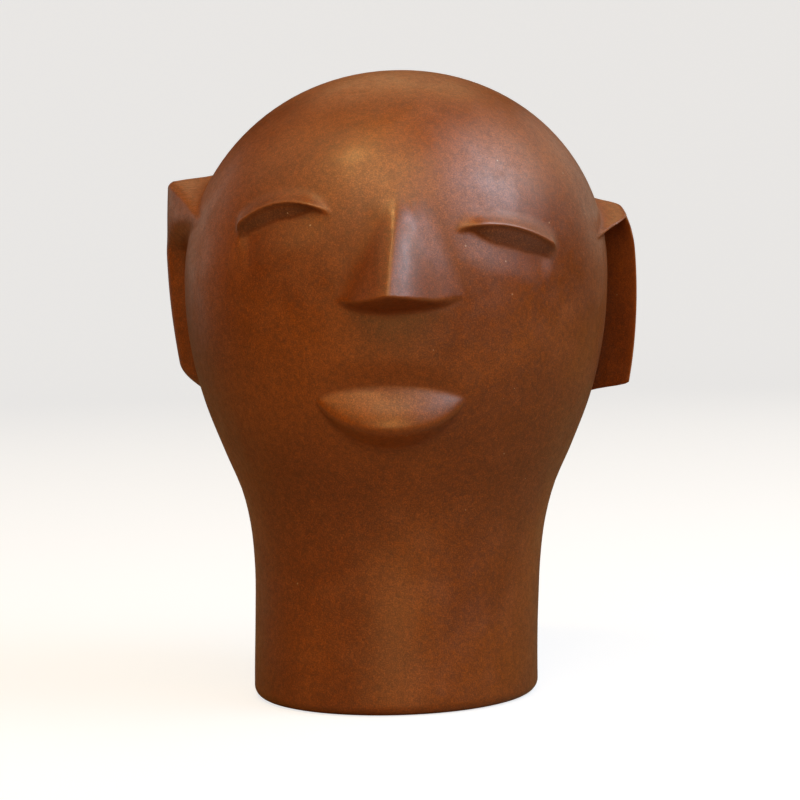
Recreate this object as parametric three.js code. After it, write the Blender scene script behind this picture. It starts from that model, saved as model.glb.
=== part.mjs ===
import * as THREE from 'three';

// A ceramic head on a round neck: one fired-clay piece that stands on its flat foot.
// Millimetres, +Z up. The face looks along -Y and the viewer's right is +X.
// An azimuth is in degrees, 0 at the front, and grows towards +X.
// A curve is a list of [height, value] points, and a range is [from, to].

// Body
const HEIGHT = 280;
const WIDEST_HEIGHT = 188;
const WIDEST_RADIUS = 94.9;
const DOME_EXPONENT = 2.04; // 2 is an ellipse, more is fuller
const FOOT_ROUNDING = 5;
const SIDE_OUTLINE = [
  [FOOT_ROUNDING, 64.3],
  [38, 64.2],
  [61, 64.8],
  [78, 66.7],
  [93, 70.4],
  [111, 78],
  [134, 86.8],
  [160, 92.9],
  [WIDEST_HEIGHT, WIDEST_RADIUS],
];

// The middle of the body, which the maker let drift to the viewer's right
const AXIS = [
  [0, 0],
  [60, 2.05],
  [110, 3.75],
  [180, 4.45],
  [HEIGHT, 6.45],
];

// Lids: a raised band with a crisp edge, cut back below it into the cheek.
// Each range is a share of the way from the inner end to the outer end.
const LID = {
  rise: 3.8,
  sink: 0.8,
  edgeRounding: 0.7,
  browFillet: 2.2,
  cheekFillet: 0.4,
  filletChange: [-1.5, 1.5], // heights from the edge between which one fillet turns into the other
  recovery: 14, // height over which the cheek swells out again
  undercut: 0.6, // share of the cut in which the cheek sinks
  riseStarts: [-0.08, 0.2],
  riseStops: [1.06, 0.92],
  innerCut: 0.15, // share of the cut's height at the inner end
  cutGrows: [-0.02, 0.43],
  outerCut: 0.65,
  cutShrinks: [1, 0.7],
};
const LIDS = [
  { inner: [-27.5, 217.6], outer: [-65, 211], arch: 6.4, cut: 7, band: 4.6 },
  { inner: [29, 208.8], outer: [68, 199.5], arch: 4.4, cut: 8, band: 5 },
];

// Nose: a wedge with a soft ridge, two side planes that swell a little, and a steep underside
const NOSE = {
  sides: [0.4, -2.6], // of the ridge, at the root and at the tip
  heights: [221, 181.5],
  rises: [1.2, 23.1],
  leftWidths: [1.5, 17.5],
  rightWidths: [3, 24.5],
  leftSwell: 0.6,
  rightSwell: 0.35,
  spreadPower: 0.75,
  longestSpread: 1.3,
  ridgeRounding: 1.4,
  rootTop: 225.5,
  rootSlope: 0.5,
  rootFillet: 6,
  cornerHeight: 178,
  undersideDip: 3.5,
  undersideSlope: 3.2,
  edgeRounding: 1.3,
  cornerSoftening: 7,
  fillet: 4,
  overlap: 2, // rise of the nose that hides a lid
};

// Mouth: one lens that leans forward from a crease down to a soft lower edge
const MOUTH = {
  left: [-32.5, 138.4],
  right: [30, 137],
  creaseLift: 5.6,
  creasePower: 0.6,
  creaseDepth: 2,
  creaseReach: 12,
  edgeDrop: 10.8,
  edgePower: 0.9,
  edgeRise: 12,
  risePower: 0.7,
  undersideHeight: 12,
  softness: 4,
};
const FACE_LIMIT = 75; // azimuth beyond which there is no face

// Ears: slabs with a steep front, a triangular facet on top and a back that falls away.
// Each rim is a curve through three radii, and each front foot swings round to a corner.
const EAR = {
  backAzimuth: 136,
  backCurve: 24, // degrees by which the back foot comes forward at top and bottom
  shoulderRounding: 4,
  topFilletStarts: [0.2, 0.8], // share of the way from the middle to the top
  bottomFilletStarts: [-0.6, -1],
};
const RIGHT_EAR = {
  side: 1,
  foot: 101.5,
  rimAzimuth: 103,
  farthest: 103.4, // azimuth at which the rounded rim stands out most
  lean: 0.69, // degrees forward for each millimetre of rise
  corner: { azimuth: 75, height: 204.5 },
  sweep: 0, // height over which the foot swings round to the corner
  ledge: { height: 209.7, slope: 3 }, // the facet's lower edge, at the rim
  topHeight: 222,
  topSlopes: [3.1, 0.27],
  shoulder: 10.5,
  rim: [[214, 106.4], [180, 109], [136, 104.2]],
  bottom: { height: 133.4, slope: 5, rounding: 6 },
  edgeRounding: 0.9,
  fillets: { bottom: 9, middle: 2, top: 7 },
};
const LEFT_EAR = {
  side: -1,
  foot: 93.5,
  rimAzimuth: 98.5,
  farthest: 100,
  lean: 0.2,
  corner: { azimuth: 75, height: 218.5 },
  sweep: 18,
  ledge: null,
  topHeight: 235.8,
  topSlopes: [9, 1],
  shoulder: 16.5,
  rim: [[226, 105.4], [180, 104.9], [141, 99.2]],
  bottom: { height: 137.7, slope: 1.48, rounding: 10 },
  edgeRounding: 1.2,
  fillets: { bottom: 4, middle: 2, top: 10 },
};

// Mesh lines, closest together on the face and at the rims of the ears
const COLUMN_BANDS = [
  { to: -EAR.backAzimuth, steps: 4 },
  { to: -LEFT_EAR.farthest, steps: 5 },
  { to: -LEFT_EAR.foot, steps: 2 },
  { to: -LEFT_EAR.corner.azimuth, steps: 4 },
  { to: -45, steps: 7 },
  { to: -1.6, steps: 18 },
  { to: 45, steps: 19 },
  { to: RIGHT_EAR.corner.azimuth, steps: 6 },
  { to: RIGHT_EAR.foot, steps: 6 },
  { to: RIGHT_EAR.farthest, steps: 1 },
  { to: EAR.backAzimuth, steps: 5 },
  { to: 180, steps: 4 },
];
const DOME_BAND = { to: 238, steps: 7 };
const ROW_BANDS = [
  { to: 222, steps: 7 },
  { to: 198, steps: 12 },
  { to: 182.3, steps: 3 },
  { to: 175, steps: 8 },
  { to: 148, steps: 4 },
  { to: 124, steps: 11 },
  { to: 100, steps: 3 },
  { to: 60, steps: 2 },
  { to: FOOT_ROUNDING, steps: 1 },
];
const FOOT_STEPS = 3;

// Rows near the top of the right ear, tilted to run along the crest of its facet
const CREST = {
  middle: 210,
  reach: 14,
  rimHeight: 215.9,
  starts: [-0.6, 0], // shares of the way from the facet's corner to the rim
  stops: [2.2, 1],
};

const CLAY_COLOUR = 0x84491f;
const CLAY_ROUGHNESS = 0.45;

// Curve helpers

function clamp(value, low, high) {
  return Math.min(Math.max(value, low), high);
}

function ease(value) {
  const t = clamp(value, 0, 1);
  return t * t * (3 - 2 * t);
}

function easeAlong([from, to], value) {
  return ease((value - from) / (to - from));
}

function blend(from, to, t) {
  return from + (to - from) * t;
}

function roundMin(a, b, rounding) {
  const overlap = Math.max(rounding - Math.abs(a - b), 0) / rounding;
  return Math.min(a, b) - overlap * overlap * rounding * 0.25;
}

function roundMax(a, b, rounding) {
  return -roundMin(-a, -b, rounding);
}

// The parabola through three points
function throughThree(points, height) {
  let total = 0;
  for (const [ownHeight, radius] of points) {
    let weight = 1;
    for (const [otherHeight] of points) {
      if (otherHeight !== ownHeight) {
        weight *= (height - otherHeight) / (ownHeight - otherHeight);
      }
    }
    total += radius * weight;
  }
  return total;
}

// The smooth curve through any number of points, level at its two ends
function curveSlope(points, index) {
  if (index === 0 || index === points.length - 1) {
    return 0;
  }
  const [before, here, after] = points.slice(index - 1, index + 2);
  const below = here[0] - before[0];
  const above = after[0] - here[0];
  const fall = (here[1] - before[1]) / below;
  const climb = (after[1] - here[1]) / above;
  return (fall * above + climb * below) / (below + above);
}

function alongCurve(points, height) {
  let index = 0;
  while (index < points.length - 2 && height > points[index + 1][0]) {
    index += 1;
  }
  const [lowHeight, low] = points[index];
  const [highHeight, high] = points[index + 1];
  const span = highHeight - lowHeight;
  const t = (height - lowHeight) / span;
  const ends = (1 + 2 * t) * (1 - t) ** 2 * low + t * t * (3 - 2 * t) * high;
  const lowTurn = t * (1 - t) ** 2 * curveSlope(points, index);
  const highTurn = t * t * (t - 1) * curveSlope(points, index + 1);
  return ends + (lowTurn + highTurn) * span;
}

// Body of revolution

function bodyRadius(height) {
  if (height >= WIDEST_HEIGHT) {
    const t = (height - WIDEST_HEIGHT) / (HEIGHT - WIDEST_HEIGHT);
    return WIDEST_RADIUS * Math.max(1 - t ** DOME_EXPONENT, 0) ** (1 / DOME_EXPONENT);
  }
  if (height >= FOOT_ROUNDING) {
    return alongCurve(SIDE_OUTLINE, height);
  }
  const drop = FOOT_ROUNDING - height;
  const inset = FOOT_ROUNDING - Math.sqrt(Math.max(FOOT_ROUNDING ** 2 - drop ** 2, 0));
  return SIDE_OUTLINE[0][1] - inset;
}

// Features, each as the thickness of clay that it adds over the body

function lidRise(lid, side, height) {
  const alongSide = lid.outer[0] - lid.inner[0];
  const alongHeight = lid.outer[1] - lid.inner[1];
  const length = Math.hypot(alongSide, alongHeight);
  const fromInnerSide = side - lid.inner[0];
  const fromInnerHeight = height - lid.inner[1];
  const t = (fromInnerSide * alongSide + fromInnerHeight * alongHeight) / length ** 2;
  const turned = (fromInnerHeight * alongSide - fromInnerSide * alongHeight) / length;
  const aboveEdge = turned * Math.sign(alongSide) - 4 * t * (1 - t) * lid.arch;
  const innerShare = blend(LID.innerCut, 1, easeAlong(LID.cutGrows, t));
  const outerShare = blend(LID.outerCut, 1, easeAlong(LID.cutShrinks, t));
  const cut = lid.cut * innerShare * outerShare;
  const bandPlane = LID.rise * (1 - aboveEdge / lid.band);
  const cutPlane = LID.rise + (LID.rise + LID.sink) * aboveEdge / cut;
  const sunk = ease(-aboveEdge / (LID.undercut * cut)) * ease(1 + (cut + aboveEdge) / LID.recovery);
  const fillet = blend(LID.cheekFillet, LID.browFillet, easeAlong(LID.filletChange, aboveEdge));
  const edge = roundMin(bandPlane, cutPlane, LID.edgeRounding);
  const strength = easeAlong(LID.riseStarts, t) * easeAlong(LID.riseStops, t);
  return strength * roundMax(edge, -LID.sink * sunk, fillet);
}

// A side of the nose, flatter at the ridge and at the foot than it is between them
function swellingPlane(rise, out, swell) {
  const turn = 2 * Math.PI;
  return rise * (1 - out + swell * Math.sin(turn * clamp(out, 0, 1)) / turn);
}

function noseRise(side, height) {
  const [rootHeight, tipHeight] = NOSE.heights;
  const t = (rootHeight - height) / (rootHeight - tipHeight);
  const spread = clamp(t, 0, NOSE.longestSpread) ** NOSE.spreadPower;
  const fromRidge = side - blend(...NOSE.sides, t);
  const rise = blend(...NOSE.rises, Math.max(t, 0));
  const rightPlane = swellingPlane(rise, fromRidge / blend(...NOSE.rightWidths, spread), NOSE.rightSwell);
  const leftPlane = swellingPlane(rise, -fromRidge / blend(...NOSE.leftWidths, spread), NOSE.leftSwell);
  const tent = roundMin(rightPlane, leftPlane, NOSE.ridgeRounding);
  const rootPlane = (NOSE.rootTop - height) * NOSE.rootSlope;
  const tipWidth = fromRidge > 0 ? NOSE.rightWidths[1] : NOSE.leftWidths[1];
  const share = (fromRidge / tipWidth) ** 2;
  const dip = NOSE.undersideDip * clamp(1 - share, -1, 1);
  const underside = (height - NOSE.cornerHeight + dip) * NOSE.undersideSlope;
  const softening = NOSE.edgeRounding + NOSE.cornerSoftening * Math.min(share, 1);
  const wedge = roundMin(roundMin(tent, rootPlane, NOSE.rootFillet), underside, softening);
  return roundMax(wedge, 0, NOSE.fillet);
}

function mouthRise(side, height) {
  const t = (side - MOUTH.left[0]) / (MOUTH.right[0] - MOUTH.left[0]);
  if (t <= 0 || t >= 1) {
    return 0;
  }
  const fullness = 4 * t * (1 - t);
  const middle = blend(MOUTH.left[1], MOUTH.right[1], t);
  const crease = middle + MOUTH.creaseLift * fullness ** MOUTH.creasePower;
  const edge = middle - MOUTH.edgeDrop * fullness ** MOUTH.edgePower;
  const foot = edge - MOUTH.undersideHeight * Math.sqrt(fullness);
  if (height <= foot) {
    return 0;
  }
  const depth = MOUTH.creaseDepth * fullness;
  if (height > crease) {
    return -depth * ease(1 - (height - crease) / MOUTH.creaseReach);
  }
  const edgeRise = MOUTH.edgeRise * fullness ** MOUTH.risePower;
  const lip = (depth + edgeRise) * (crease - height) / (crease - edge) - depth;
  const underside = edgeRise * easeAlong([foot, edge], height);
  return roundMin(lip, underside, MOUTH.softness * fullness);
}

function earRise(ear, azimuth, height, radius) {
  const turn = azimuth * ear.side;
  const { corner, bottom, ledge, fillets } = ear;
  const thickness = throughThree(ear.rim, height) - radius;
  const swing = ear.sweep > 0 ? easeAlong([corner.height - ear.sweep, corner.height], height) : 0;
  const foot = blend(ear.foot, corner.azimuth, swing);
  const alongTop = clamp((turn - corner.azimuth) / (ear.rimAzimuth - corner.azimuth), -1, 1);
  let front = thickness * (turn - foot) / (ear.rimAzimuth - foot);
  if (ledge) {
    const ledgePlane = (height - blend(corner.height, ledge.height, alongTop)) * ledge.slope;
    front = roundMax(front, ledgePlane, ear.edgeRounding);
  }
  const middle = (ear.topHeight + bottom.height) / 2;
  const fromMiddle = (height - middle) / (ear.topHeight - middle);
  const backFoot = EAR.backAzimuth - EAR.backCurve * Math.min(fromMiddle ** 2, 1);
  const towardsBack = (backFoot - turn) / (backFoot - ear.rimAzimuth);
  const bulge = towardsBack > 0 ? Math.sin(Math.min(towardsBack, 1) * Math.PI / 2) : towardsBack;
  const drop = blend(corner.height, ear.topHeight, alongTop) - height;
  const [steep, gentle] = ear.topSlopes;
  const top = roundMin(drop * steep, ear.shoulder + drop * gentle, EAR.shoulderRounding);
  const base = (height - bottom.height) * bottom.slope;
  const face = roundMin(front, top, ear.edgeRounding);
  const wedge = roundMin(face, thickness * bulge, EAR.shoulderRounding);
  const towardsTop = easeAlong(EAR.topFilletStarts, fromMiddle);
  const towardsBottom = easeAlong(EAR.bottomFilletStarts, fromMiddle);
  const upperFillet = blend(fillets.middle, fillets.top, towardsTop);
  const fillet = blend(upperFillet, fillets.bottom, towardsBottom);
  return roundMax(roundMin(wedge, base, bottom.rounding), 0, fillet);
}

function faceRise(azimuth, height, radius) {
  if (Math.abs(azimuth) >= FACE_LIMIT) {
    return 0;
  }
  const side = radius * Math.sin(THREE.MathUtils.degToRad(azimuth));
  const lids = lidRise(LIDS[0], side, height) + lidRise(LIDS[1], side, height);
  const nose = noseRise(side, height);
  return nose + lids * ease(1 - nose / NOSE.overlap) + mouthRise(side, height);
}

// The wall of clay at an azimuth and a height, with the ears leaning forward as they stand out
function wallPoint(azimuth, height) {
  const radius = bodyRadius(height);
  const rightRise = earRise(RIGHT_EAR, azimuth, height, radius);
  const leftRise = earRise(LEFT_EAR, azimuth, height, radius);
  const reach = radius + Math.max(rightRise, leftRise) + faceRise(azimuth, height, radius);
  const leant = azimuth + LEFT_EAR.lean * leftRise - RIGHT_EAR.lean * rightRise;
  const angle = THREE.MathUtils.degToRad(leant);
  return [alongCurve(AXIS, height) + reach * Math.sin(angle), -reach * Math.cos(angle), height];
}

// Mesh lines

function bandLines(start, bands) {
  const lines = [start];
  for (const band of bands) {
    const from = lines[lines.length - 1];
    for (let step = 1; step <= band.steps; step += 1) {
      lines.push(blend(from, band.to, step / band.steps));
    }
  }
  return lines;
}

function heightLines() {
  const dome = HEIGHT - WIDEST_HEIGHT;
  const domeAngle = Math.acos((DOME_BAND.to - WIDEST_HEIGHT) / dome);
  const lines = [];
  for (let step = 0; step < DOME_BAND.steps; step += 1) {
    lines.push(WIDEST_HEIGHT + dome * Math.cos(domeAngle * step / DOME_BAND.steps));
  }
  lines.push(...bandLines(DOME_BAND.to, ROW_BANDS));
  for (let step = 1; step <= FOOT_STEPS; step += 1) {
    lines.push(FOOT_ROUNDING * (1 - Math.sin(Math.PI / 2 * step / FOOT_STEPS)));
  }
  return lines;
}

function tiltedHeight(azimuth, height) {
  const { corner, rimAzimuth } = RIGHT_EAR;
  const along = (azimuth - corner.azimuth) / (rimAzimuth - corner.azimuth);
  const crest = blend(corner.height, CREST.rimHeight, clamp(along, 0, 1));
  const present = easeAlong(CREST.starts, along) * easeAlong(CREST.stops, along);
  const near = ease(1 - Math.abs(height - CREST.middle) / CREST.reach);
  return height + (crest - CREST.middle) * present * near;
}

// The head: a sphere's closed grid, drawn over the mesh lines and pushed out to the clay

function headGeometry() {
  const azimuths = bandLines(-180, COLUMN_BANDS);
  const heights = heightLines();
  const columns = azimuths.length - 1;
  const rows = heights.length;
  const geometry = new THREE.SphereGeometry(1, columns, rows);
  const position = geometry.attributes.position;
  for (let index = 0; index < position.count; index += 1) {
    const row = Math.floor(index / (columns + 1));
    const azimuth = azimuths[(index % (columns + 1)) % columns];
    if (row === 0 || row === rows) {
      const height = row === 0 ? HEIGHT : 0;
      position.setXYZ(index, alongCurve(AXIS, height), 0, height);
    } else {
      position.setXYZ(index, ...wallPoint(azimuth, tiltedHeight(azimuth, heights[row])));
    }
  }
  geometry.computeVertexNormals();
  return geometry;
}

const clay = new THREE.MeshStandardMaterial({ color: CLAY_COLOUR, roughness: CLAY_ROUGHNESS, metalness: 0 });
const head = new THREE.Mesh(headGeometry(), clay);
head.name = 'ceramic_head';

const sculpture = new THREE.Group();
sculpture.add(head);

export default sculpture;
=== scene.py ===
"""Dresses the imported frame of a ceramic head: the burnished clay body, its stage, light and camera."""

import math

import bmesh
import bpy
from bpy.props import FloatProperty, FloatVectorProperty, PointerProperty
from mathutils import Matrix, Vector, noise


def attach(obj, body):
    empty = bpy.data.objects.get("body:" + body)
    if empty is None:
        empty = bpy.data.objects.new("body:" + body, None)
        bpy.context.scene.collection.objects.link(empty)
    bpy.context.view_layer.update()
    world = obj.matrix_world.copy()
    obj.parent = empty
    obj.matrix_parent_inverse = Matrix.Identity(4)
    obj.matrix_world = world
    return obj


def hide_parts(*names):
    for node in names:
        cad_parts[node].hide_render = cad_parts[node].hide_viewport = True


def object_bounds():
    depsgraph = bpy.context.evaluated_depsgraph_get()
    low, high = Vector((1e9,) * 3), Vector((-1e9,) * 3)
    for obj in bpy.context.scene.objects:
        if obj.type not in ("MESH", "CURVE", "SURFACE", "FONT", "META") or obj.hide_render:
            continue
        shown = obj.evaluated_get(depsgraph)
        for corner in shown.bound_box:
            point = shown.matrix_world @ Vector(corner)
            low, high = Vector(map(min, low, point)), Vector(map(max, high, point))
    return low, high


bl_info = {
    "name": "Ceramic head",
    "version": (1, 0, 0),
    "blender": (4, 5, 0),
    "location": "3D View > Sidebar > Ceramic Head",
    "description": "Models a burnished clay head with slab ears, slit lids, a wedge nose and a lens mouth",
    "category": "Add Mesh",
}

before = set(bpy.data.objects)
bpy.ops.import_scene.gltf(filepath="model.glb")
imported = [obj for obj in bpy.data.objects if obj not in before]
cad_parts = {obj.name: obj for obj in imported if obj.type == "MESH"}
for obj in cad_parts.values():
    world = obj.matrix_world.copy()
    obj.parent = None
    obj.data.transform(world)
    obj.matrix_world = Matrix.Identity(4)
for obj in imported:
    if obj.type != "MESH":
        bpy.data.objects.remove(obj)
CAD_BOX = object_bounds()

MM = 0.001
HEAD_NODE = "ceramic_head"

# The body's side, from the foot to the widest ring, as height and radius in millimetres
SIDE_OUTLINE = (
    (5, 64.3),
    (38, 64.2),
    (61, 64.8),
    (78, 66.7),
    (93, 70.4),
    (111, 78.0),
    (134, 86.8),
    (160, 92.9),
    (188, 94.9),
)

# The middle of the body at each height, which the maker let drift to the viewer's right
AXIS = ((0, 0.0), (60, 2.05), (110, 3.75), (180, 4.45), (280, 6.45))

# Upright mesh lines, as the azimuth in degrees where each band ends and the lines in it
AZIMUTH_BANDS = (
    (-135, 12),
    (-104, 16),
    (-90, 34),
    (-50, 28),
    (50, 296),
    (86, 24),
    (100, 18),
    (107, 34),
    (136, 16),
    (180, 12),
)

# Level mesh lines, as the height in millimetres where each band ends and the lines in it
DOME_LINES = (238, 20)
HEIGHT_BANDS = (
    (226, 13),
    (194, 54),
    (184, 9),
    (173, 18),
    (152, 10),
    (118, 38),
    (100, 8),
    (5, 18),
)
FOOT_LINES = 8

# Each light's azimuth and elevation in degrees, distance and size in metres, power, share of it, and colour
LIGHTS = (
    ("warm lamp", -42, 66, 1.6, 0.30, "lamp_power", 1.0, "lamp_colour"),
    ("window, upper pane", 72, 47, 1.0, 0.62, "window_power", 0.25, "window_colour"),
    ("window, lower pane", 60, 34, 1.2, 0.80, "window_power", 0.42, "window_colour"),
    ("window wall", 95, 45, 1.4, 1.0, "window_power", 0.36, "wall_colour"),
    ("ceiling, front", 0, 50, 1.8, 1.2, "ceiling_power", 1.0, "ceiling_colour"),
    ("ceiling, back", 180, 50, 1.8, 1.2, "ceiling_power", 0.30, "ceiling_colour"),
    ("low front", 0, 6, 2.0, 1.0, "low_power", 1.0, "lamp_colour"),
    ("left fill", -50, 30, 1.8, 1.0, "fill_power", 1.0, "lamp_colour"),
    ("high left wall", -100, 50, 1.8, 1.2, "fill_power", 0.78, "ceiling_colour"),
    ("right fill", 45, 22, 1.8, 1.0, "fill_power", 0.7, "wall_colour"),
    ("back left wall", -130, 12, 1.8, 1.2, "fill_power", 0.45, "wall_colour"),
    ("back right wall", 140, 18, 1.8, 1.2, "fill_power", 0.64, "wall_colour"),
)


# Sizes and colours that a user would change


class BodySizes(bpy.types.PropertyGroup):
    height: FloatProperty(
        name="Height",
        description="Foot to crown",
        default=CAD_BOX[1].z - CAD_BOX[0].z,
        min=0.1,
        unit="LENGTH",
    )
    lean: FloatProperty(
        name="Lean",
        description="Share of the modelled sideways drift of the body's middle",
        default=1.0,
    )
    dome_fullness: FloatProperty(
        name="Dome fullness",
        description="Exponent of the dome, 2 for an ellipse",
        default=2.04,
    )
    foot_rounding: FloatProperty(
        name="Foot rounding",
        description="Radius of the edge round the underside",
        default=5 * MM,
        unit="LENGTH",
    )
    hand_wobble: FloatProperty(
        name="Hand wobble",
        description="How far the burnished wall strays inwards from the true form",
        default=0.12 * MM,
        unit="LENGTH",
    )


class LidSizes(bpy.types.PropertyGroup):
    rise: FloatProperty(
        name="Rise", description="Height of the lid's edge over the brow", default=3.8 * MM, unit="LENGTH"
    )
    sink: FloatProperty(
        name="Sink", description="Depth of the cheek right under the lid", default=1.2 * MM, unit="LENGTH"
    )
    step: FloatProperty(
        name="Step", description="Height of the steep wall under the edge", default=0.9 * MM, unit="LENGTH"
    )
    edge_rounding: FloatProperty(
        name="Edge rounding", description="Softness of the lid's edge", default=0.6 * MM, unit="LENGTH"
    )
    brow_fillet: FloatProperty(
        name="Brow fillet",
        description="Softness where the band meets the brow",
        default=2.2 * MM,
        unit="LENGTH",
    )
    cheek_fillet: FloatProperty(
        name="Cheek fillet",
        description="Softness where the cut meets the cheek",
        default=0.4 * MM,
        unit="LENGTH",
    )


class NoseSizes(bpy.types.PropertyGroup):
    root_rise: FloatProperty(
        name="Root rise", description="Height of the ridge at the brow", default=1.2 * MM, unit="LENGTH"
    )
    tip_rise: FloatProperty(
        name="Tip rise", description="Height of the ridge at the tip", default=20.8 * MM, unit="LENGTH"
    )
    left_half_width: FloatVectorProperty(
        name="Left half width",
        description="At the brow and at the tip",
        size=2,
        default=(3.3 * MM, 19.2 * MM),
    )
    right_half_width: FloatVectorProperty(
        name="Right half width",
        description="At the brow and at the tip",
        size=2,
        default=(3.5 * MM, 27 * MM),
    )
    ridge_rounding: FloatProperty(
        name="Ridge rounding", description="Softness of the ridge", default=1.2 * MM, unit="LENGTH"
    )
    fillet: FloatProperty(
        name="Fillet", description="Softness where the nose meets the face", default=4 * MM, unit="LENGTH"
    )


class MouthSizes(bpy.types.PropertyGroup):
    crease_depth: FloatProperty(
        name="Crease depth", description="Depth of the line above the lens", default=2 * MM, unit="LENGTH"
    )
    edge_rise: FloatProperty(
        name="Edge rise", description="How far the lower edge stands out", default=12 * MM, unit="LENGTH"
    )
    softness: FloatProperty(
        name="Softness", description="Rounding of the lower edge", default=8 * MM, unit="LENGTH"
    )


class EarSizes(bpy.types.PropertyGroup):
    right_turns: FloatVectorProperty(
        name="Right turns",
        description="Turn from the front to the foot of the ear's front, and to its rim",
        size=2,
        default=(math.radians(101.5), math.radians(103)),
        unit="ROTATION",
    )
    left_turns: FloatVectorProperty(
        name="Left turns",
        description="Turn from the front to the foot of the ear's front, and to its rim",
        size=2,
        default=(math.radians(93.5), math.radians(98.5)),
        unit="ROTATION",
    )
    right_lean: FloatProperty(
        name="Right lean",
        description="Forward turn in radians for each metre that the ear stands out",
        default=12.0,
    )
    left_lean: FloatProperty(
        name="Left lean",
        description="Forward turn in radians for each metre that the ear stands out",
        default=3.5,
    )
    back_azimuth: FloatProperty(
        name="Back foot",
        description="Turn to the foot of the back",
        default=math.radians(136),
        unit="ROTATION",
    )
    back_curve: FloatProperty(
        name="Back curve",
        description="Turn by which the back foot comes forward at top and bottom",
        default=math.radians(24),
        unit="ROTATION",
    )


class ClayFinish(bpy.types.PropertyGroup):
    body_colour: FloatVectorProperty(
        name="Body", description="Main clay colour", subtype="COLOR", size=3, default=(0.232, 0.0565, 0.003)
    )
    pale_colour: FloatVectorProperty(
        name="Pale",
        description="Drier, paler patches",
        subtype="COLOR",
        size=3,
        default=(0.290, 0.080, 0.014),
    )
    # Also laid in the hollows as painted shade.
    dark_colour: FloatVectorProperty(
        name="Dark",
        description="Smoked, darker patches",
        subtype="COLOR",
        size=3,
        default=(0.168, 0.036, 0.002),
    )
    grain_colour: FloatVectorProperty(
        name="Grain",
        description="Paler grains of the clay",
        subtype="COLOR",
        size=3,
        default=(0.27, 0.085, 0.025),
    )
    speck_colour: FloatVectorProperty(
        name="Specks", description="Tiny pale grains", subtype="COLOR", size=3, default=(0.55, 0.40, 0.28)
    )
    dark_speck_colour: FloatVectorProperty(
        name="Dark specks",
        description="Tiny dark grains",
        subtype="COLOR",
        size=3,
        default=(0.045, 0.012, 0.003),
    )
    # Darker than the body: painted shade in the cuts under the lids, and also the colour of unburnished clay
    # on those cuts and on the underside.
    raw_and_shade_colour: FloatVectorProperty(
        name="Raw clay",
        description="Cut or scraped clay, not burnished",
        subtype="COLOR",
        size=3,
        default=(0.108, 0.024, 0.004),
    )
    roughness: FloatProperty(
        name="Roughness", description="Roughness of the burnished wall", default=0.44, subtype="FACTOR"
    )


class StageLook(bpy.types.PropertyGroup):
    floor_colour: FloatVectorProperty(
        name="Floor",
        description="Colour that the paper shows",
        subtype="COLOR",
        size=3,
        default=(0.94, 0.94, 0.94),
    )
    floor_tint: FloatVectorProperty(
        name="Floor tint",
        description="Colour that the lights add",
        subtype="COLOR",
        size=3,
        default=(0.36, 0.39, 0.45),
    )
    floor_glow: FloatProperty(
        name="Floor glow", description="Light that the backdrop shows of its own", default=0.78, min=0.0
    )
    bounce_colour: FloatVectorProperty(
        name="Bounce",
        description="Colour the floor throws back",
        subtype="COLOR",
        size=3,
        default=(0.30, 0.21, 0.12),
    )
    lamp_power: FloatProperty(
        name="Warm lamp", description="Power of the small lamp high on the left", default=5.8, unit="POWER"
    )
    window_power: FloatProperty(
        name="Window",
        description="Power of the three broad lights on the right",
        default=10.8,
        unit="POWER",
    )
    ceiling_power: FloatProperty(
        name="Ceiling", description="Power of the broad light above the face", default=12.2, unit="POWER"
    )
    low_power: FloatProperty(
        name="Low front", description="Power of the low light in front", default=9.2, unit="POWER"
    )
    fill_power: FloatProperty(
        name="Fill",
        description="Power of the broad light that fills the left side",
        default=3.5,
        unit="POWER",
    )
    lamp_colour: FloatVectorProperty(
        name="Lamp", description="Colour of the lamps", subtype="COLOR", size=3, default=(1.0, 0.63, 0.22)
    )
    ceiling_colour: FloatVectorProperty(
        name="Ceiling",
        description="Colour of the light above",
        subtype="COLOR",
        size=3,
        default=(1.0, 0.69, 0.34),
    )
    wall_colour: FloatVectorProperty(
        name="Walls",
        description="Colour of the light off the walls",
        subtype="COLOR",
        size=3,
        default=(1.0, 0.90, 0.72),
    )
    window_colour: FloatVectorProperty(
        name="Window",
        description="Colour of the daylight",
        subtype="COLOR",
        size=3,
        default=(0.63, 0.82, 1.0),
    )
    sky_strength: FloatProperty(
        name="Sky strength", description="Strength of the surroundings", default=0.03, min=0.0
    )
    lens: FloatProperty(
        name="Lens", description="Focal length in millimetres on a 36 mm sensor", default=109.8, min=10.0
    )


GROUPS = {
    "head_body": BodySizes,
    "head_lids": LidSizes,
    "head_nose": NoseSizes,
    "head_mouth": MouthSizes,
    "head_ears": EarSizes,
    "head_clay": ClayFinish,
    "head_stage": StageLook,
}


# Curve helpers


def clamp(value, low=0.0, high=1.0):
    return min(max(value, low), high)


def ease(value):
    t = clamp(value)
    return t * t * (3 - 2 * t)


def ease_along(span, value):
    """Eases from 0 at the span's first value to 1 at its second, which may be the lower one."""
    start, end = span
    return ease((value - start) / (end - start))


def blend(low, high, t):
    return low + (high - low) * t


def round_min(a, b, rounding):
    """The smaller of two heights, with the corner where they cross rounded off."""
    overlap = max(rounding - abs(a - b), 0.0) / rounding
    return min(a, b) - overlap * overlap * rounding / 4


def round_max(a, b, rounding):
    return -round_min(-a, -b, rounding)


def through_three(points, height):
    """The radius at a height on the curve through three (height, radius) points."""
    total = 0.0
    for own_height, radius in points:
        weight = 1.0
        for other_height, _ in points:
            if other_height != own_height:
                weight *= (height - other_height) / (own_height - other_height)
        total += radius * weight
    return total


def band_lines(start, bands):
    """The positions of the mesh lines through bands of (end, number of lines)."""
    lines = [start]
    for end, count in bands:
        first = lines[-1]
        lines += [blend(first, end, step / count) for step in range(1, count + 1)]
    return lines


# The body's outline


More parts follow.
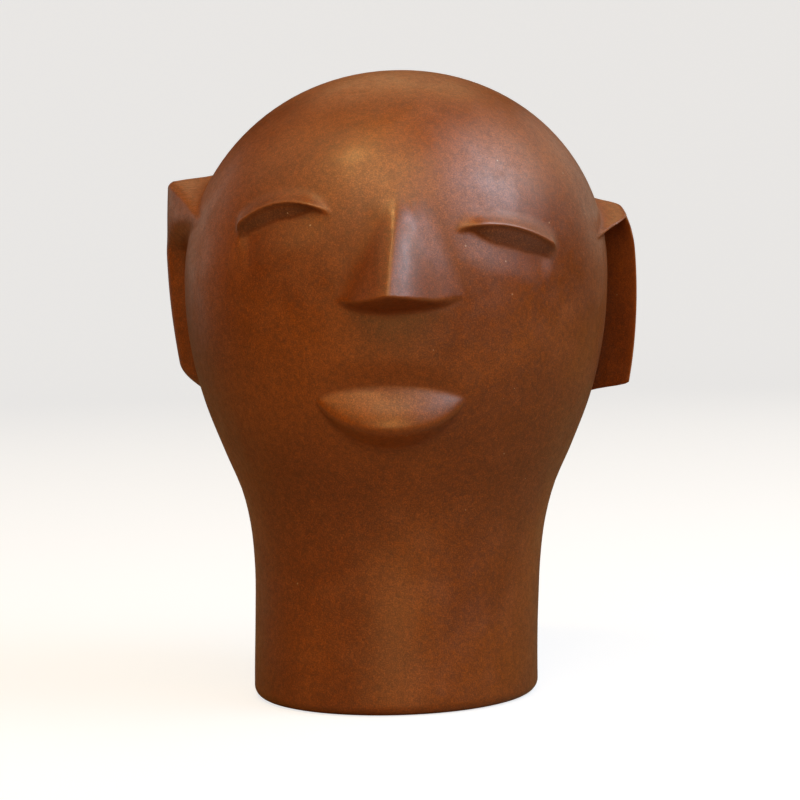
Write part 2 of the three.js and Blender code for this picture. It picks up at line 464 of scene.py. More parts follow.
def curve_slopes(points):
    slopes = [0.0] * len(points)
    for index in range(1, len(points) - 1):
        below = points[index][0] - points[index - 1][0]
        above = points[index + 1][0] - points[index][0]
        fall = (points[index][1] - points[index - 1][1]) / below
        climb = (points[index + 1][1] - points[index][1]) / above
        slopes[index] = (fall * above + climb * below) / (below + above)
    return slopes


def along_curve(points, slopes, height):
    """The value at a height on the smooth curve through (height, value) points."""
    index = 0
    while index < len(points) - 2 and height > points[index + 1][0]:
        index += 1
    low_height, low = points[index]
    high_height, high = points[index + 1]
    span = high_height - low_height
    t = (height - low_height) / span
    ends = (1 + 2 * t) * (1 - t) ** 2 * low + t * t * (3 - 2 * t) * high
    turns = t * (1 - t) ** 2 * slopes[index] + t * t * (t - 1) * slopes[index + 1]
    return ends + turns * span


class Body:
    """The body of revolution that carries the face, in metres."""

    def __init__(self, sizes):
        self.height = sizes.height
        self.scale = sizes.height / (280 * MM)
        self.fullness = sizes.dome_fullness
        self.foot_rounding = sizes.foot_rounding
        self.side = [(h * MM * self.scale, r * MM * self.scale) for h, r in SIDE_OUTLINE]
        self.side_slopes = curve_slopes(self.side)
        self.axis = [(h * MM * self.scale, x * MM * self.scale * sizes.lean) for h, x in AXIS]
        self.axis_slopes = curve_slopes(self.axis)
        self.widest_height, self.widest_radius = self.side[-1]

    def middle(self, height):
        return along_curve(self.axis, self.axis_slopes, height)

    def radius(self, height):
        if height >= self.widest_height:
            t = (height - self.widest_height) / (self.height - self.widest_height)
            return self.widest_radius * max(1 - t**self.fullness, 0.0) ** (1 / self.fullness)
        if height >= self.foot_rounding:
            return along_curve(self.side, self.side_slopes, height)
        drop = self.foot_rounding - height
        inset = self.foot_rounding - math.sqrt(max(self.foot_rounding**2 - drop**2, 0.0))
        return self.side[0][1] - inset

    def heights(self):
        """The heights of the level mesh lines, from the crown down to the underside."""
        dome = self.height - self.widest_height
        end, count = DOME_LINES
        angle = math.acos((end * MM * self.scale - self.widest_height) / dome)
        lines = [self.widest_height + dome * math.cos(angle * step / count) for step in range(count + 1)]
        lines += band_lines(lines[-1], [(h * MM * self.scale, n) for h, n in HEIGHT_BANDS])[1:]
        turn = math.pi / 2 / FOOT_LINES
        foot = [self.foot_rounding * (1 - math.sin(turn * step)) for step in range(1, FOOT_LINES + 1)]
        return lines + foot


# The features, each a function that gives the clay it adds over the body


def lid_form(sizes, inner, outer, arch, cut, band):
    """A raised band over a small steep wall and a cut, and a mask of the cut: raw, unburnished clay whose
    darker colour is also painted shade under the lid's edge.
    """
    recovery, undercut, crossing, border = 14 * MM, 0.6, 3 * MM, 0.9 * MM
    rise_starts, rise_stops = (-0.08, 0.2), (1.06, 0.92)
    inner_cut, cut_grows = 0.15, (-0.02, 0.43)
    outer_cut, cut_shrinks = 0.65, (0.7, 1.0)
    along = Vector(outer) - Vector(inner)
    length = along.length
    outward = math.copysign(1.0, along.x)
    rise, sink, step, wall_slope = sizes.rise, sizes.sink, sizes.step, 2.2
    edge_rounding, brow_fillet, cheek_fillet = sizes.edge_rounding, sizes.brow_fillet, sizes.cheek_fillet

    def rise_at(side, height):
        reach = Vector((side, height)) - Vector(inner)
        t = reach.dot(along) / length**2
        above_chord = (reach.y * along.x - reach.x * along.y) / length * outward
        above_edge = above_chord - 4 * t * (1 - t) * arch
        own_cut = cut * blend(inner_cut, 1, ease_along(cut_grows, t))
        own_cut *= blend(1, outer_cut, ease_along(cut_shrinks, t))
        strength = ease_along(rise_starts, t) * ease_along(rise_stops, t)
        band_plane = rise * (1 - above_edge / band)
        wall = rise + above_edge * wall_slope
        slope = (rise - step) + (rise - step + sink) * above_edge / own_cut
        cut_plane = round_max(wall, slope, edge_rounding)
        under = ease(-above_edge / (undercut * own_cut)) * (1 - ease((-own_cut - above_edge) / recovery))
        fillet = blend(cheek_fillet, brow_fillet, ease(0.5 + above_edge / crossing))
        form = round_max(round_min(band_plane, cut_plane, edge_rounding), -sink * under, fillet)
        # The cut's mask: matt raw clay, with a darker colour there that is painted shade.
        raw_and_shade = ease(0.5 - above_edge / border) * ease(0.5 + (own_cut + above_edge) / border)
        return strength * form, strength * raw_and_shade

    return rise_at


def swelling_plane(rise, out, swell):
    """A side of the nose, flatter at the ridge and at the foot than it is between them."""
    return rise * (1 - out + swell * math.sin(math.tau * clamp(out)) / math.tau)


def nose_form(sizes):
    """A wedge with a soft ridge, two side planes that swell a little, and a steep underside."""
    root_side, root_height = 2.2 * MM, 221 * MM
    tip_side, tip_height = -0.9 * MM, 181.5 * MM
    root_top, root_slope, root_fillet = 225.5 * MM, 0.5, 6 * MM
    corner_height, dip, steepness = 178 * MM, 3.5 * MM, 2.9
    spread_power, edge_rounding, corner_softening = 0.75, 1.3 * MM, 7 * MM
    right_swell, left_swell = 0.2, 0.1
    left, right = tuple(sizes.left_half_width), tuple(sizes.right_half_width)
    root_rise, tip_rise, ridge_rounding = sizes.root_rise, sizes.tip_rise, sizes.ridge_rounding

    def rise_at(side, height):
        t = (root_height - height) / (root_height - tip_height)
        spread = clamp(t, 0, 1.3) ** spread_power
        from_ridge = side - blend(root_side, tip_side, t)
        rise = blend(root_rise, tip_rise, max(t, 0))
        right_plane = swelling_plane(rise, from_ridge / blend(*right, spread), right_swell)
        left_plane = swelling_plane(rise, -from_ridge / blend(*left, spread), left_swell)
        tent = round_min(right_plane, left_plane, ridge_rounding)
        root_plane = (root_top - height) * root_slope
        half_width = right[1] if from_ridge > 0 else left[1]
        own_dip = dip * clamp(1 - (from_ridge / half_width) ** 2, -1, 1)
        underside = (height - corner_height + own_dip) * steepness
        softening = edge_rounding + corner_softening * min((from_ridge / half_width) ** 2, 1.0)
        return round_min(round_min(tent, root_plane, root_fillet), underside, softening)

    return rise_at


def mouth_form(sizes):
    """One lens that leans forward from a crease down to a soft lower edge."""
    left_side, left_height = -32.5 * MM, 138.4 * MM
    right_side, right_height = 30 * MM, 137 * MM
    crease_lift, edge_drop = 5.6 * MM, 10.8 * MM
    crease_power, edge_power, rise_power = 0.6, 0.9, 1.05
    crease_reach, underside_height = 12 * MM, 12 * MM
    depth, rise, softness = sizes.crease_depth, sizes.edge_rise, sizes.softness

    def rise_at(side, height):
        t = (side - left_side) / (right_side - left_side)
        if t <= 0 or t >= 1:
            return 0.0
        fullness = 4 * t * (1 - t)
        middle = blend(left_height, right_height, t)
        crease = middle + crease_lift * fullness**crease_power
        edge = middle - edge_drop * fullness**edge_power
        foot = edge - underside_height * math.sqrt(fullness)
        if height <= foot:
            return 0.0
        if height > crease:
            return -depth * fullness * (1 - ease((height - crease) / crease_reach))
        edge_rise = rise * fullness**rise_power
        own_depth = depth * fullness
        lip = (own_depth + edge_rise) * (crease - height) / (crease - edge) - own_depth
        underside = edge_rise * ease((height - foot) / (edge - foot))
        return round_min(lip, underside, softness * fullness)

    return rise_at


def ear_form(
    sizes, side, turns, corner, sweep, ledge, top_height, top_slopes, shoulder, rim, bottom, rounding, fillets
):
    """A slab with a steep front, a triangular facet on top and a back that falls away."""
    foot_turn, rim_turn = turns
    back_turn, back_curve = sizes.back_azimuth, sizes.back_curve
    corner_turn, corner_height = corner
    bottom_height, bottom_slope, bottom_rounding = bottom
    bottom_fillet, middle_fillet, top_fillet = fillets
    top_fillet_span, bottom_fillet_span = (0.2, 0.8), (-0.6, -1.0)
    shoulder_rounding = 4 * MM
    middle = (top_height + bottom_height) / 2

    def rise_at(azimuth, height, radius):
        turn = azimuth * side
        thickness = through_three(rim, height) - radius
        swing = ease_along((corner_height - sweep, corner_height), height) if sweep else 0.0
        foot = blend(foot_turn, corner_turn, swing)
        front = thickness * (turn - foot) / (rim_turn - foot)
        along_top = clamp((turn - corner_turn) / (rim_turn - corner_turn), -1.0, 1.0)
        if ledge:
            ledge_height, ledge_slope = ledge
            ledge_plane = (height - blend(corner_height, ledge_height, along_top)) * ledge_slope
            front = round_max(front, ledge_plane, rounding)
        from_middle = (height - middle) / (top_height - middle)
        back_foot = back_turn - back_curve * min(from_middle**2, 1.0)
        towards_back = (back_foot - turn) / (back_foot - rim_turn)
        bulge = math.sin(min(towards_back, 1.0) * math.pi / 2) if towards_back > 0 else towards_back
        drop = blend(corner_height, top_height, along_top) - height
        top = round_min(drop * top_slopes[0], shoulder + drop * top_slopes[1], shoulder_rounding)
        base = (height - bottom_height) * bottom_slope
        wedge = round_min(round_min(front, top, rounding), thickness * bulge, shoulder_rounding)
        if height > middle:
            fillet = blend(middle_fillet, top_fillet, ease_along(top_fillet_span, from_middle))
        else:
            fillet = blend(middle_fillet, bottom_fillet, ease_along(bottom_fillet_span, from_middle))
        return round_max(round_min(wedge, base, bottom_rounding), 0.0, fillet)

    return rise_at


def face_forms(scene):
    """The lids, nose and mouth, from the scene's sizes."""
    lids = scene.head_lids
    left = lid_form(lids, (-27.5 * MM, 217.6 * MM), (-65 * MM, 211 * MM), 6.4 * MM, 7 * MM, 4.6 * MM)
    right = lid_form(lids, (29 * MM, 208.8 * MM), (68 * MM, 199.5 * MM), 4.4 * MM, 8 * MM, 5 * MM)
    return left, right, nose_form(scene.head_nose), mouth_form(scene.head_mouth)


def ear_forms(scene):
    """The two ears, which a hand pinched differently."""
    right = ear_form(
        scene.head_ears,
        side=1,
        turns=scene.head_ears.right_turns,
        corner=(math.radians(75), 204.5 * MM),
        sweep=0.0,
        ledge=(209.7 * MM, 3),
        top_height=222 * MM,
        top_slopes=(3.1, 0.27),
        shoulder=10.5 * MM,
        rim=((214 * MM, 106.4 * MM), (180 * MM, 109 * MM), (136 * MM, 104.2 * MM)),
        bottom=(133.4 * MM, 5, 6 * MM),
        rounding=0.9 * MM,
        fillets=(9 * MM, 2 * MM, 7 * MM),
    )
    left = ear_form(
        scene.head_ears,
        side=-1,
        turns=scene.head_ears.left_turns,
        corner=(math.radians(75), 218.5 * MM),
        sweep=18 * MM,
        ledge=None,
        top_height=235.8 * MM,
        top_slopes=(9, 1),
        shoulder=16.5 * MM,
        rim=((226 * MM, 105.4 * MM), (180 * MM, 104.9 * MM), (141 * MM, 99.2 * MM)),
        bottom=(137.7 * MM, 1.48, 10 * MM),
        rounding=1.2 * MM,
        fillets=(4 * MM, 2 * MM, 10 * MM),
    )
    return right, left


# Mesh work


def spin_outline(points, columns, closeness):
    """A body of revolution spun from its outline, with points closer than this merged."""
    mesh = bmesh.new()
    outline = [mesh.verts.new(point) for point in points]
    edges = [mesh.edges.new(pair) for pair in zip(outline, outline[1:])]
    bmesh.ops.spin(
        mesh,
        geom=outline + edges,
        axis=(0, 0, 1),
        cent=(0, 0, 0),
        angle=math.tau,
        steps=columns,
        use_merge=True,
    )
    bmesh.ops.remove_doubles(mesh, verts=mesh.verts, dist=closeness)
    bmesh.ops.recalc_face_normals(mesh, faces=mesh.faces)
    return mesh


def spin_body(body, columns):
    outline = [(0, -body.radius(height), height) for height in body.heights()]
    outline.append((0, 0, 0))
    return spin_outline(outline, columns, closeness=1e-7)


def push_clay(mesh, body, scene):
    """Gathers the upright lines where the detail is, and pushes the wall out to the clay."""
    lines = [math.radians(a) for a in band_lines(-180, AZIMUTH_BANDS)]
    columns = len(lines) - 1
    raw_clay = mesh.verts.layers.float.new("raw_clay")
    left_lid, right_lid, nose, mouth = face_forms(scene)
    right_ear, left_ear = ear_forms(scene)
    right_lean, left_lean = scene.head_ears.right_lean, scene.head_ears.left_lean
    nose_fillet = scene.head_nose.fillet
    face_limit = math.radians(75)
    axis_radius, underside, nose_border = 1e-6, 0.05 * MM, 2 * MM
    for vertex in mesh.verts:
        x, y, height = vertex.co
        radius = math.hypot(x, y)
        if radius > axis_radius:
            step = round((math.atan2(x, -y) + math.pi) / math.tau * columns)
            azimuth = lines[step % columns]
            right_rise = right_ear(azimuth, height, radius)
            left_rise = left_ear(azimuth, height, radius)
            clay = max(right_rise, left_rise)
            if abs(azimuth) < face_limit:
                side = radius * math.sin(azimuth)
                left_form, left_raw_and_shade = left_lid(side, height)
                right_form, right_raw_and_shade = right_lid(side, height)
                ridge = round_max(nose(side, height), 0.0, nose_fillet)
                beside_nose = 1 - ease(ridge / nose_border)
                clay += ridge + (left_form + right_form) * beside_nose + mouth(side, height)
                # The lids' cuts are raw clay, and their darker colour is painted shade.
                vertex[raw_clay] = (left_raw_and_shade + right_raw_and_shade) * beside_nose
            azimuth += left_lean * left_rise - right_lean * right_rise
            reach = radius + clay
            x, y = reach * math.sin(azimuth), -reach * math.cos(azimuth)
        if height < underside:
            vertex[raw_clay] = 1.0
        vertex.co = (x + body.middle(height), y, height)


def wobble_wall(mesh, body, depth):
    """The slight, uneven hollows that hand burnishing leaves, none on the flat underside."""
    broad_scale, fine_scale, fine_offset = 24, 90, Vector((7, 3, 5))
    broad_share, fine_share = 0.8, 0.2
    foot_margin, crown_margin = 12 * MM, 6 * MM
    mesh.normal_update()
    for vertex in mesh.verts:
        broad = 0.5 + 0.5 * noise.noise(vertex.co * broad_scale)
        fine = 0.5 + 0.5 * noise.noise(vertex.co * fine_scale + fine_offset)
        hollow = depth * (broad_share * broad + fine_share * fine)
        hollow *= ease(vertex.co.z / foot_margin) * ease((body.height - vertex.co.z) / crown_margin)
        outward = Vector((vertex.normal.x, vertex.normal.y, 0))
        vertex.co -= outward * hollow


def mark_edges(mesh):
    """Stores how far each vertex is a raised edge or a hollow, for wear on edges, and for dust and painted
    shade in hollows.
    """
    wear_starts, wear_span, hollow_starts, hollow_span = 40, 260, 8, 60
    smoothing_rounds, shortest = 3, 1e-12
    mesh.normal_update()
    bend = []
    for vertex in mesh.verts:
        total = 0.0
        for edge in vertex.link_edges:
            other = edge.other_vert(vertex)
            step = other.co - vertex.co
            total += (other.normal - vertex.normal).dot(step) / max(step.length_squared, shortest)
        bend.append(total / max(len(vertex.link_edges), 1))
    mesh.verts.index_update()
    for _ in range(smoothing_rounds):
        bend = [
            0.5 * bend[v.index]
            + 0.5 * sum(bend[e.other_vert(v).index] for e in v.link_edges) / len(v.link_edges)
            for v in mesh.verts
        ]
    worn = mesh.verts.layers.float.new("worn_edge")
    hollow = mesh.verts.layers.float.new("hollow")
    for vertex in mesh.verts:
        vertex[worn] = clamp((bend[vertex.index] - wear_starts) / wear_span)
        vertex[hollow] = clamp((-bend[vertex.index] - hollow_starts) / hollow_span)


def object_from(mesh, name, material):
    """Turns a finished bmesh into a smooth-shaded object."""
    data = bpy.data.meshes.new(name)
    for face in mesh.faces:
        face.smooth = True
    mesh.to_mesh(data)
    mesh.free()
    data.materials.append(material)
    piece = bpy.data.objects.new(name, data)
    bpy.context.scene.collection.objects.link(piece)
    return piece


# Shader helpers


# The colour sockets of a Mix node
FIRST_COLOUR, SECOND_COLOUR, MIXED_COLOUR = 6, 7, 2


def feed(tree, socket, value):
    """Links a socket to its source, or sets the plain value it is given."""
    if isinstance(value, bpy.types.NodeSocket):
        tree.links.new(value, socket)
    else:
        socket.default_value = value


def add_node(tree, kind, place, settings=None, inputs=None):
    """A shader node with its settings and its inputs, each a source to link or a plain value."""
    node = tree.nodes.new(kind)
    node.location = place
    for key, value in (settings or {}).items():
        setattr(node, key, value)
    for key, value in (inputs or {}).items():
        feed(tree, node.inputs[key], value)
    return node


def mask_of(tree, place, attribute):
    """A mask that is stored on the mesh."""
    return add_node(tree, "ShaderNodeAttribute", place, {"attribute_name": attribute}).outputs["Fac"]


def noise_node(tree, place, vector, scale, detail=3.0, roughness=0.55, distortion=0.0):
    inputs = {
        "Vector": vector,
        "Scale": scale,
        "Detail": detail,
        "Roughness": roughness,
        "Distortion": distortion,
    }
    return add_node(tree, "ShaderNodeTexNoise", place, inputs=inputs).outputs["Fac"]


def range_node(tree, place, value, low, high, to_low=0.0, to_high=1.0):
    """A value between low and high, eased onto another range."""
    inputs = {"Value": value, "From Min": low, "From Max": high, "To Min": to_low, "To Max": to_high}
    settings = {"interpolation_type": "SMOOTHSTEP"}
    return add_node(tree, "ShaderNodeMapRange", place, settings, inputs).outputs["Result"]


def math_node(tree, place, operation, *values):
    inputs = dict(enumerate(values))
    return add_node(tree, "ShaderNodeMath", place, {"operation": operation}, inputs).outputs[0]


def lay_over(tree, place, under, colour, mask, strength=1.0):
    """A colour laid over another one where a mask says, at a strength."""
    if strength < 1:
        mask = math_node(tree, (place[0] - 200, place[1] - 200), "MULTIPLY", mask, strength)
    inputs = {"Factor": mask, FIRST_COLOUR: under, SECOND_COLOUR: (*colour, 1.0)}
    return add_node(tree, "ShaderNodeMix", place, {"data_type": "RGBA"}, inputs).outputs[MIXED_COLOUR]


def new_group(name, inputs, output):
    """A node group with one number out, and its inputs: vectors where no default is given, or numbers."""
    group = bpy.data.node_groups.new(name, "ShaderNodeTree")
    for label, default in inputs.items():
        kind = "NodeSocketVector" if default is None else "NodeSocketFloat"
        socket = group.interface.new_socket(name=label, in_out="INPUT", socket_type=kind)
        if default is not None:
            socket.default_value = default
    group.interface.new_socket(name=output, in_out="OUTPUT", socket_type="NodeSocketFloat")
    return group, group.nodes.new("NodeGroupInput").outputs


def speck_group():
    """Scattered grains: a mask that is 1 on a few of many cells, from size and share."""
    given_defaults = {"Vector": None, "Cells": 500.0, "Share": 0.93, "Size": 0.25}
    group, given = new_group("Clay specks", given_defaults, "Mask")
    inputs = {"Vector": given["Vector"], "Scale": given["Cells"]}
    cells = add_node(group, "ShaderNodeTexVoronoi", (-200, 0), inputs=inputs)
    tint = add_node(group, "ShaderNodeSeparateColor", (0, -150), inputs={"Color": cells.outputs["Color"]})
    chosen = math_node(group, (200, -150), "GREATER_THAN", tint.outputs["Red"], given["Share"])
    near = math_node(group, (200, 50), "LESS_THAN", cells.outputs["Distance"], given["Size"])
    both = math_node(group, (400, 0), "MULTIPLY", chosen, near)
    add_node(group, "NodeGroupOutput", (600, 0), inputs={"Mask": both})
    return group


def burnish_group():
    """Burnishing strokes: fine streaks that run level round the body, some deeper than others."""
    group, given = new_group("Burnish strokes", {"Vector": None, "Fineness": 260.0}, "Height")
    inputs = {"Vector": given["Vector"], "Scale": (0.10, 0.10, 1.0)}
    stretched = add_node(group, "ShaderNodeMapping", (-600, 0), inputs=inputs).outputs["Vector"]
    strokes = noise_node(group, (-400, 0), stretched, given["Fineness"], 4.0, 0.6, 0.4)
    patches = noise_node(group, (-400, -250), given["Vector"], 30.0, 2.0)
    gate = range_node(group, (-200, -250), patches, 0.42, 0.62)
    gated = math_node(group, (0, 0), "MULTIPLY", strokes, gate)
    add_node(group, "NodeGroupOutput", (200, 0), inputs={"Height": gated})
    return group


def scratch_group():
    """Hairline scratches: thin winding lines, kept to a few patches of the wall."""
    group, given = new_group("Hairline scratches", {"Vector": None, "Width": 0.004}, "Mask")
    winding = noise_node(group, (-400, 0), given["Vector"], 42.0, 1.0, 0.5, 0.6)
    off_line = math_node(group, (-200, 0), "SUBTRACT", winding, 0.5)
    distance = math_node(group, (0, 0), "ABSOLUTE", off_line)
    line = math_node(group, (200, 0), "LESS_THAN", distance, given["Width"])
    patches = noise_node(group, (-400, -250), given["Vector"], 17.0, 1.0)
    gate = range_node(group, (-200, -250), patches, 0.58, 0.66)
    gated = math_node(group, (400, 0), "MULTIPLY", line, gate)
    add_node(group, "NodeGroupOutput", (600, 0), inputs={"Mask": gated})
    return group


class ClayTextures:
    """The textures and stored masks that the clay's colour, gloss and relief share."""

    def __init__(self, tree):
        self.tree = tree
        self.place = add_node(tree, "ShaderNodeTexCoord", (-1800, 0)).outputs["Object"]
        self.worn = mask_of(tree, (-1800, -300), "worn_edge")
        self.hollow = mask_of(tree, (-1800, -500), "hollow")
        self.raw_and_shade = mask_of(tree, (-1800, -700), "raw_clay")
        self.broad = noise_node(tree, (-1500, 300), self.place, 14.0, 3.0, 0.5, 0.3)
        self.cloudy = noise_node(tree, (-1500, 50), self.place, 60.0, 4.0, 0.6)
        self.flecks = noise_node(tree, (-1500, 550), self.place, 420.0, 3.0, 0.65)
        self.grain = noise_node(tree, (-1500, -200), self.place, 1700.0, 2.0, 0.75)

    def grouped(self, place, group, output, **inputs):
        """A pattern from a node group, laid in the object's own space."""
        inputs["Vector"] = self.place
        return add_node(self.tree, "ShaderNodeGroup", place, {"node_tree": group}, inputs).outputs[output]


def clay_colour(tree, finish, clay):
    """Mottled clay with raw cuts darkened as painted shade, fine grain, specks, scratches, rubbed edges, and
    hollows darkened as painted shade.
    """
    smoke = range_node(tree, (-1250, 300), clay.broad, 0.40, 0.68)
    colour = lay_over(tree, (-1000, 300), (*finish.dark_colour, 1.0), finish.body_colour, smoke)
    dry = range_node(tree, (-1250, 50), clay.cloudy, 0.50, 0.85, 0.0, 0.45)
    colour = lay_over(tree, (-750, 200), colour, finish.pale_colour, dry)
    # Painted shade: the lids' cuts are darkened, besides being raw clay.
    colour = lay_over(tree, (-600, 400), colour, finish.raw_and_shade_colour, clay.raw_and_shade)
    pale_grains = range_node(tree, (-1250, 750), clay.grain, 0.5, 0.75, 0.0, 0.5)
    colour = lay_over(tree, (-550, 550), colour, finish.grain_colour, pale_grains)

    salt = range_node(tree, (-1250, -200), clay.grain, 0.3, 0.7, 0.60, 1.30)
    fleck_tone = range_node(tree, (-1250, 550), clay.flecks, 0.3, 0.7, 0.80, 1.18)
    tone = math_node(tree, (-1000, 550), "MULTIPLY", salt, fleck_tone)
    inputs = {0: colour, "Scale": tone}
    grained = add_node(tree, "ShaderNodeVectorMath", (-500, 200), {"operation": "SCALE"}, inputs)

    specks = speck_group()
    pale = clay.grouped((-1250, -500), specks, "Mask", Cells=420.0, Share=0.994, Size=0.16)
    black = clay.grouped((-1250, -750), specks, "Mask", Cells=610.0, Share=0.965, Size=0.22)
    scratches = clay.grouped((-1250, -950), scratch_group(), "Mask")
    colour = lay_over(tree, (-250, 200), grained.outputs["Vector"], finish.speck_colour, pale, strength=0.55)
    colour = lay_over(tree, (0, 200), colour, finish.dark_speck_colour, black, strength=0.5)
    colour = lay_over(tree, (120, 400), colour, finish.dark_colour, scratches, strength=0.4)
    colour = lay_over(tree, (250, 200), colour, finish.pale_colour, clay.worn, strength=0.45)
    # Painted shade: concave hollows are darkened in colour.
    return lay_over(tree, (500, 200), colour, finish.dark_colour, clay.hollow, strength=0.35)


def clay_roughness(tree, finish, clay):
    """Satin that varies in clouds, glossier on rubbed edges, duller in hollows and on raw clay."""
    cloud_sway, fleck_sway = 0.08, 0.04
    polish, dust, unburnished = 0.06, 0.18, 0.3
    low, high = finish.roughness - cloud_sway, finish.roughness + cloud_sway
    satin = range_node(tree, (-750, -200), clay.cloudy, 0.3, 0.7, low, high)
    rubbed = math_node(tree, (-750, -400), "MULTIPLY", clay.worn, polish)
    polished = math_node(tree, (-500, -200), "SUBTRACT", satin, rubbed)
    dusty = math_node(tree, (-500, -450), "MULTIPLY_ADD", clay.hollow, dust, polished)
    matt = math_node(tree, (-250, -450), "MULTIPLY_ADD", clay.raw_and_shade, unburnished, dusty)
    uneven = range_node(tree, (-500, -650), clay.flecks, 0.3, 0.7, fleck_sway, -fleck_sway)
    return math_node(tree, (0, -450), "ADD", matt, uneven)


def clay_relief(tree, clay):
    """The normal of fine grain with level burnishing strokes over it."""
    inputs = {"Strength": 0.20, "Distance": 0.4 * MM, "Height": clay.grain}
    skin = add_node(tree, "ShaderNodeBump", (250, -300), inputs=inputs).outputs["Normal"]
    strokes = clay.grouped((-1250, -1400), burnish_group(), "Height")
    inputs = {"Strength": 0.12, "Distance": 0.3 * MM, "Height": strokes, "Normal": skin}
    return add_node(tree, "ShaderNodeBump", (500, -300), inputs=inputs).outputs["Normal"]


def clay_material(finish):
    """Satin burnished clay."""
    material = bpy.data.materials.new("burnished clay")
    material.use_nodes = True
    tree = material.node_tree
    tree.nodes.clear()
    clay = ClayTextures(tree)
    inputs = {
        "Base Color": clay_colour(tree, finish, clay),
        "Roughness": clay_roughness(tree, finish, clay),
        "Normal": clay_relief(tree, clay),
        "IOR": 1.5,
        "Specular IOR Level": 0.8,
        "Coat Weight": 0.12,
        "Coat Roughness": 0.28,
    }
    surface = add_node(tree, "ShaderNodeBsdfPrincipled", (800, 200), inputs=inputs)
    add_node(tree, "ShaderNodeOutputMaterial", (1100, 200), inputs={"Surface": surface.outputs["BSDF"]})
    return material


def stage_material(look):
    """Plain matt paper, pale to the eye and quiet in what it throws back on the clay."""
    material = bpy.data.materials.new("stage paper")
    material.use_nodes = True
    tree = material.node_tree
    paper = tree.nodes["Principled BSDF"]
    paper.inputs["Base Color"].default_value = (*look.floor_tint, 1.0)
    paper.inputs["Roughness"].default_value = 0.9
    paper.inputs["Specular IOR Level"].default_value = 0.2
    paper.inputs["Emission Color"].default_value = (*look.floor_colour, 1.0)
    paper.inputs["Emission Strength"].default_value = look.floor_glow
    inputs = {"Color": (*look.bounce_colour, 1.0)}
    bounce = add_node(tree, "ShaderNodeBsdfDiffuse", (0, -500), inputs=inputs)
    seen = add_node(tree, "ShaderNodeLightPath", (0, 500)).outputs["Is Camera Ray"]
    inputs = {"Fac": seen, 1: bounce.outputs["BSDF"], 2: paper.outputs["BSDF"]}
    shown = add_node(tree, "ShaderNodeMixShader", (400, 0), inputs=inputs)
    tree.links.new(shown.outputs["Shader"], tree.nodes["Material Output"].inputs["Surface"])
    return material


# Stage, light and camera


def backdrop(material):
    """A round floor that curves up into a wall, so every side has the same plain ground."""
    floor_radius, curve, wall, steps, columns = 2.2, 1.0, 2.6, 16, 96
    profile = [(0, 0, 0)]
    for step in range(steps + 1):
        turn = math.pi / 2 * step / steps
        across = floor_radius + curve * math.sin(turn)
        profile.append((across, 0, curve * (1 - math.cos(turn))))
    profile.append((floor_radius + curve, 0, wall))
    mesh = spin_outline(profile, columns, closeness=1e-6)
    bmesh.ops.reverse_faces(mesh, faces=mesh.faces)
    return object_from(mesh, "stage", material)


def soft_light(name, azimuth, elevation, distance, size, power, colour):
    """A round soft light that looks at the brow, unseen itself, from an azimuth and elevation in degrees."""
    centre = Vector((0.004, 0, 0.2))
    turn, climb = math.radians(azimuth), math.radians(elevation)
    towards = Vector((math.sin(turn) * math.cos(climb), -math.cos(turn) * math.cos(climb), math.sin(climb)))
    data = bpy.data.lights.new(name, "AREA")
    data.shape = "DISK"
    data.size = size
    data.energy = power
    data.color = colour
    lamp = bpy.data.objects.new(name, data)
    lamp.location = centre + towards * distance
    lamp.rotation_euler = (-towards).to_track_quat("-Z", "Y").to_euler()
    lamp.visible_camera = False
    bpy.context.scene.collection.objects.link(lamp)


def light_stage(look):
    """Hangs the lights, dims the sky, and shows colours as they are."""
    for name, azimuth, elevation, distance, size, power, share, colour in LIGHTS:
        own_power = getattr(look, power) * share
        soft_light(name, azimuth, elevation, distance, size, own_power, getattr(look, colour))
    world = bpy.data.worlds.new("studio")
    world.use_nodes = True
    sky = world.node_tree.nodes["Background"]
    sky.inputs["Color"].default_value = (*look.wall_colour, 1.0)
    sky.inputs["Strength"].default_value = look.sky_strength
    bpy.context.scene.world = world
    bpy.context.scene.view_settings.view_transform = "Standard"


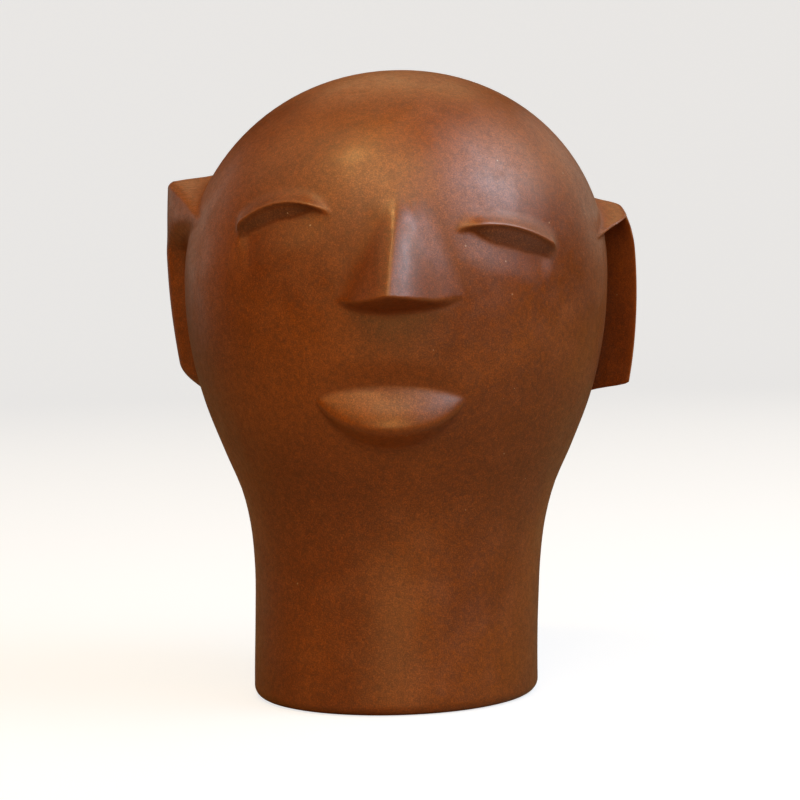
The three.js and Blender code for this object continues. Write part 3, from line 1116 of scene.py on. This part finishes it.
def place_camera(look):
    """The photograph's view: a long lens a little above the chin, rolled slightly."""
    distance, height, aside = 1.1, 0.203, 0.00085
    azimuth, roll = math.radians(1.5), math.radians(-1.46)
    target = Vector((0.00495, 0, 0.1322))
    place = Vector((distance * math.sin(azimuth) + aside, -distance * math.cos(azimuth), height))
    forward = (target - place).normalized()
    right = forward.cross(Vector((0, 0, 1))).normalized()
    up = right.cross(forward)
    turned_right = right * math.cos(roll) + up * math.sin(roll)
    turned_up = up * math.cos(roll) - right * math.sin(roll)
    data = bpy.data.cameras.new("camera")
    data.lens = look.lens
    data.sensor_width = 36
    camera = bpy.data.objects.new("camera", data)
    turn = Matrix((turned_right, turned_up, -forward)).transposed()
    camera.matrix_world = Matrix.Translation(place) @ turn.to_4x4()
    bpy.context.scene.collection.objects.link(camera)
    bpy.context.scene.camera = camera


# Operators


class HEAD_OT_clay_body(bpy.types.Operator):
    """Models the clay head over its node of the frame"""

    bl_idname = "head.clay_body"
    bl_label = "Clay head"

    def execute(self, context):
        scene = context.scene
        body = Body(scene.head_body)
        columns = sum(count for _, count in AZIMUTH_BANDS)
        mesh = spin_body(body, columns)
        push_clay(mesh, body, scene)
        wobble_wall(mesh, body, scene.head_body.hand_wobble)
        mark_edges(mesh)
        piece = object_from(mesh, "clay_head", clay_material(scene.head_clay))
        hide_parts(HEAD_NODE)
        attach(piece, "root")
        return {"FINISHED"}


class HEAD_OT_stage(bpy.types.Operator):
    """Sets the pale floor, the lights and the camera"""

    bl_idname = "head.stage"
    bl_label = "Stage, light and camera"

    def execute(self, context):
        look = context.scene.head_stage
        place_camera(look)
        backdrop(stage_material(look))
        light_stage(look)
        return {"FINISHED"}


class HEAD_PT_panel(bpy.types.Panel):
    bl_idname = "HEAD_PT_panel"
    bl_label = "Ceramic head"
    bl_space_type = "VIEW_3D"
    bl_region_type = "UI"
    bl_category = "Ceramic Head"

    def draw(self, context):
        for name, group in GROUPS.items():
            box = self.layout.box()
            box.label(text=name.replace("_", " "))
            for key in group.__annotations__:
                box.prop(getattr(context.scene, name), key)
        self.layout.operator(HEAD_OT_clay_body.bl_idname)
        self.layout.operator(HEAD_OT_stage.bl_idname)


CLASSES = (*GROUPS.values(), HEAD_OT_clay_body, HEAD_OT_stage, HEAD_PT_panel)


def register():
    for item in CLASSES:
        bpy.utils.register_class(item)
    for name, group in GROUPS.items():
        setattr(bpy.types.Scene, name, PointerProperty(type=group))


def unregister():
    for name in GROUPS:
        delattr(bpy.types.Scene, name)
    for item in reversed(CLASSES):
        bpy.utils.unregister_class(item)


def main():
    register()
    bpy.ops.head.stage()
    bpy.ops.head.clay_body()


if __name__ == "__main__":
    main()
